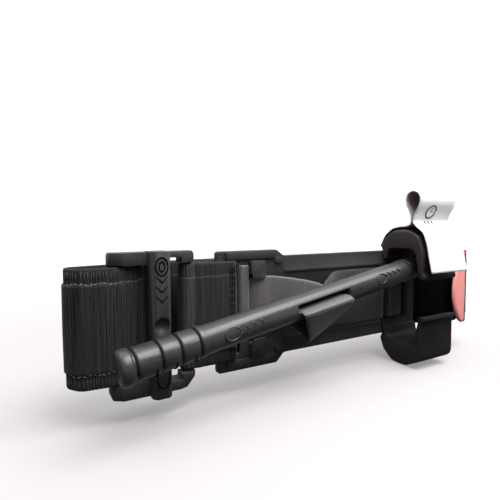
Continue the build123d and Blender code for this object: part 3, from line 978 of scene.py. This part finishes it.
def buckle_mark_shade():
    """Generic outline marks on the centre bar: two ovals, three chevrons and a loop, drawn
    near-black as painted shade of engraved lines.
    """
    y = -8.03
    ring = np.linspace(0, 2 * math.pi, 29)
    lines = [[(30.3 + rx * math.cos(t), y, 18.9 + rz * math.sin(t)) for t in ring]
             for rx, rz in ((2.0, 2.9), (0.9, 1.6))]
    for z in (14.6, 11.4, 8.2):
        lines.append([(28.3, y, z + 1.2), (30.3, y, z - 0.8), (32.3, y, z + 1.2)])
    loop = [(28.3, y, -15.0), (28.3, y, -18.4)]
    loop += [(30.3 + 2.0 * math.cos(t), y, -18.4 + 2.6 * math.sin(t))
             for t in np.linspace(math.pi, 2 * math.pi, 13)][1:]
    loop += [(32.3, y, -15.0)]
    lines.append(loop)
    obj = dress(tubes("buckle_mark_shade", lines, 0.26), "shade")
    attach(obj, "buckle")


rod_marks()
groove_rings()
buckle_mark_shade()


# ------------------------------------------------------------------ shown CAD nodes
def finish_node(name, material, width):
    """Breaks the mould's sharp edges and gives the node its plastic."""
    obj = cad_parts[name]
    weld = obj.modifiers.new("weld", "WELD")
    weld.merge_threshold = 1e-6
    bevel = obj.modifiers.new("bevel", "BEVEL")
    bevel.width = width / 1000.0
    bevel.segments = 2
    bevel.limit_method = "ANGLE"
    bevel.angle_limit = math.radians(32)
    bevel.harden_normals = True
    bevel.use_clamp_overlap = True
    obj.data.polygons.foreach_set("use_smooth", [True] * len(obj.data.polygons))
    obj.data.materials.clear()
    obj.data.materials.append(MAT[material])


finish_node("stabilization_plate", "moulded", 0.22)
finish_node("windlass_clip", "clip", 0.3)
finish_node("windlass_rod", "rod", 0.12)
finish_node("routing_buckle", "buckle", 0.28)


# ------------------------------------------------------------------ floor and light
def floor_sweep():
    """A pale floor, as grey as the photograph's under the object, running out to white."""
    cells, size = 24, 6.0
    verts, faces = [], []
    for i in range(cells + 1):
        for j in range(cells + 1):
            verts.append((-size + 2 * size * i / cells, -size + 2 * size * j / cells, 0.0))
    for i in range(cells):
        for j in range(cells):
            a = i * (cells + 1) + j
            faces.append((a, a + cells + 1, a + cells + 2, a + 1))
    floor = new_mesh("floor", verts, faces)
    n = Nodes("floor_pale")
    grain = n.noise(n.coords("Object"), 3.0)
    n.link(n.ramp(grain, [(0.3, (0.325, 0.311, 0.317)), (0.7, (0.335, 0.322, 0.328))]),
           n.bsdf.inputs["Base Color"])
    n.set(rough=0.9, specular=0.05)
    # painted light: the floor glows, faintly near the object, where it lightens the shadows, and
    # near white far out
    away = n.add("ShaderNodeVectorMath", operation="LENGTH")
    n.link(n.coords("Object"), away.inputs[0])
    floor_painted_light = n.ramp(away.outputs["Value"],
                  [(0.10, (0.28, 0.27, 0.275)), (0.50, (0.86, 0.86, 0.86))])
    n.link(floor_painted_light, n.bsdf.inputs["Emission Color"])
    n.bsdf.inputs["Emission Strength"].default_value = 1.0
    floor.data.materials.append(n.mat)
    # as with black flags round the object: it neither mirrors the floor nor takes its light
    floor.visible_glossy = False
    floor.visible_diffuse = False


def room():
    """The light from all sides: a white sweep behind, a darker room in front."""
    world = bpy.data.worlds.new("studio")
    bpy.context.scene.world = world
    world.use_nodes = True
    tree = world.node_tree
    back = next(node for node in tree.nodes if node.type == "BACKGROUND")
    coord = tree.nodes.new("ShaderNodeTexCoord")
    split = tree.nodes.new("ShaderNodeSeparateXYZ")
    tree.links.new(coord.outputs["Generated"], split.inputs["Vector"])

    def world_ramp(axis, stops):
        ramp = tree.nodes.new("ShaderNodeValToRGB")
        elements = ramp.color_ramp.elements
        while len(elements) < len(stops):
            elements.new(0.5)
        for element, (place, grey) in zip(elements, stops):
            element.position = place
            element.color = (grey, grey, grey, 1)
        tree.links.new(axis, ramp.inputs["Fac"])
        return ramp.outputs["Color"]

    def half_range(axis):
        node = tree.nodes.new("ShaderNodeMath")
        node.operation = "MULTIPLY_ADD"
        node.inputs[1].default_value = 0.5
        node.inputs[2].default_value = 0.5
        tree.links.new(axis, node.inputs[0])
        return node.outputs[0]

    def layered(blend, a, b):
        node = tree.nodes.new("ShaderNodeMix")
        node.data_type = "RGBA"
        node.blend_type = blend
        node.inputs["Factor"].default_value = 1.0
        tree.links.new(a, node.inputs["A"])
        tree.links.new(b, node.inputs["B"])
        return node.outputs["Result"]

    # white sweep behind and to the right, darker room in front, to the left and below
    sweep = world_ramp(half_range(split.outputs["Y"]), [(0.46, 0.36), (0.62, 1.0)])
    left = world_ramp(half_range(split.outputs["X"]), [(0.30, 0.55), (0.44, 1.0)])
    height = world_ramp(half_range(split.outputs["Z"]),
                        [(0.44, 0.24), (0.49, 1.0), (0.78, 1.0), (0.90, 0.60)])
    colour = layered("MULTIPLY", layered("DARKEN", sweep, left), height)
    # behind the object the room is plain white from every side
    path = tree.nodes.new("ShaderNodeLightPath")
    plain = tree.nodes.new("ShaderNodeMix")
    plain.data_type = "RGBA"
    plain.inputs["B"].default_value = (1, 1, 1, 1)
    tree.links.new(path.outputs["Is Camera Ray"], plain.inputs["Factor"])
    tree.links.new(colour, plain.inputs["A"])
    tree.links.new(plain.outputs["Result"], back.inputs["Color"])
    back.inputs["Strength"].default_value = 1.02


def lamps():
    """A soft sun overhead and two softboxes."""
    sun = bpy.data.lights.new("soft_overhead", "SUN")
    sun.energy = 0.5
    sun.angle = math.radians(75)
    lamp = bpy.data.objects.new("soft_overhead", sun)
    lamp.rotation_euler = (math.radians(-8), math.radians(6), 0)
    bpy.context.scene.collection.objects.link(lamp)

    def softbox(name, place, aim, width, height, power):
        light = bpy.data.lights.new(name, "AREA")
        light.shape = "RECTANGLE"
        light.size, light.size_y = width, height
        light.energy = power
        obj = bpy.data.objects.new(name, light)
        obj.location = place
        obj.rotation_euler = (Vector(aim) - Vector(place)).to_track_quat("-Z", "Y").to_euler()
        bpy.context.scene.collection.objects.link(obj)

    softbox("top_box", (-0.05, -0.05, 0.65), (0, 0, 0.03), 0.9, 0.5, 2.5)
    softbox("key_box", (0.09, -0.18, 0.40), (0.0, -0.01, 0.03), 0.44, 0.30, 3.6)


floor_sweep()
room()
lamps()
bpy.context.scene.view_settings.view_transform = "Standard"
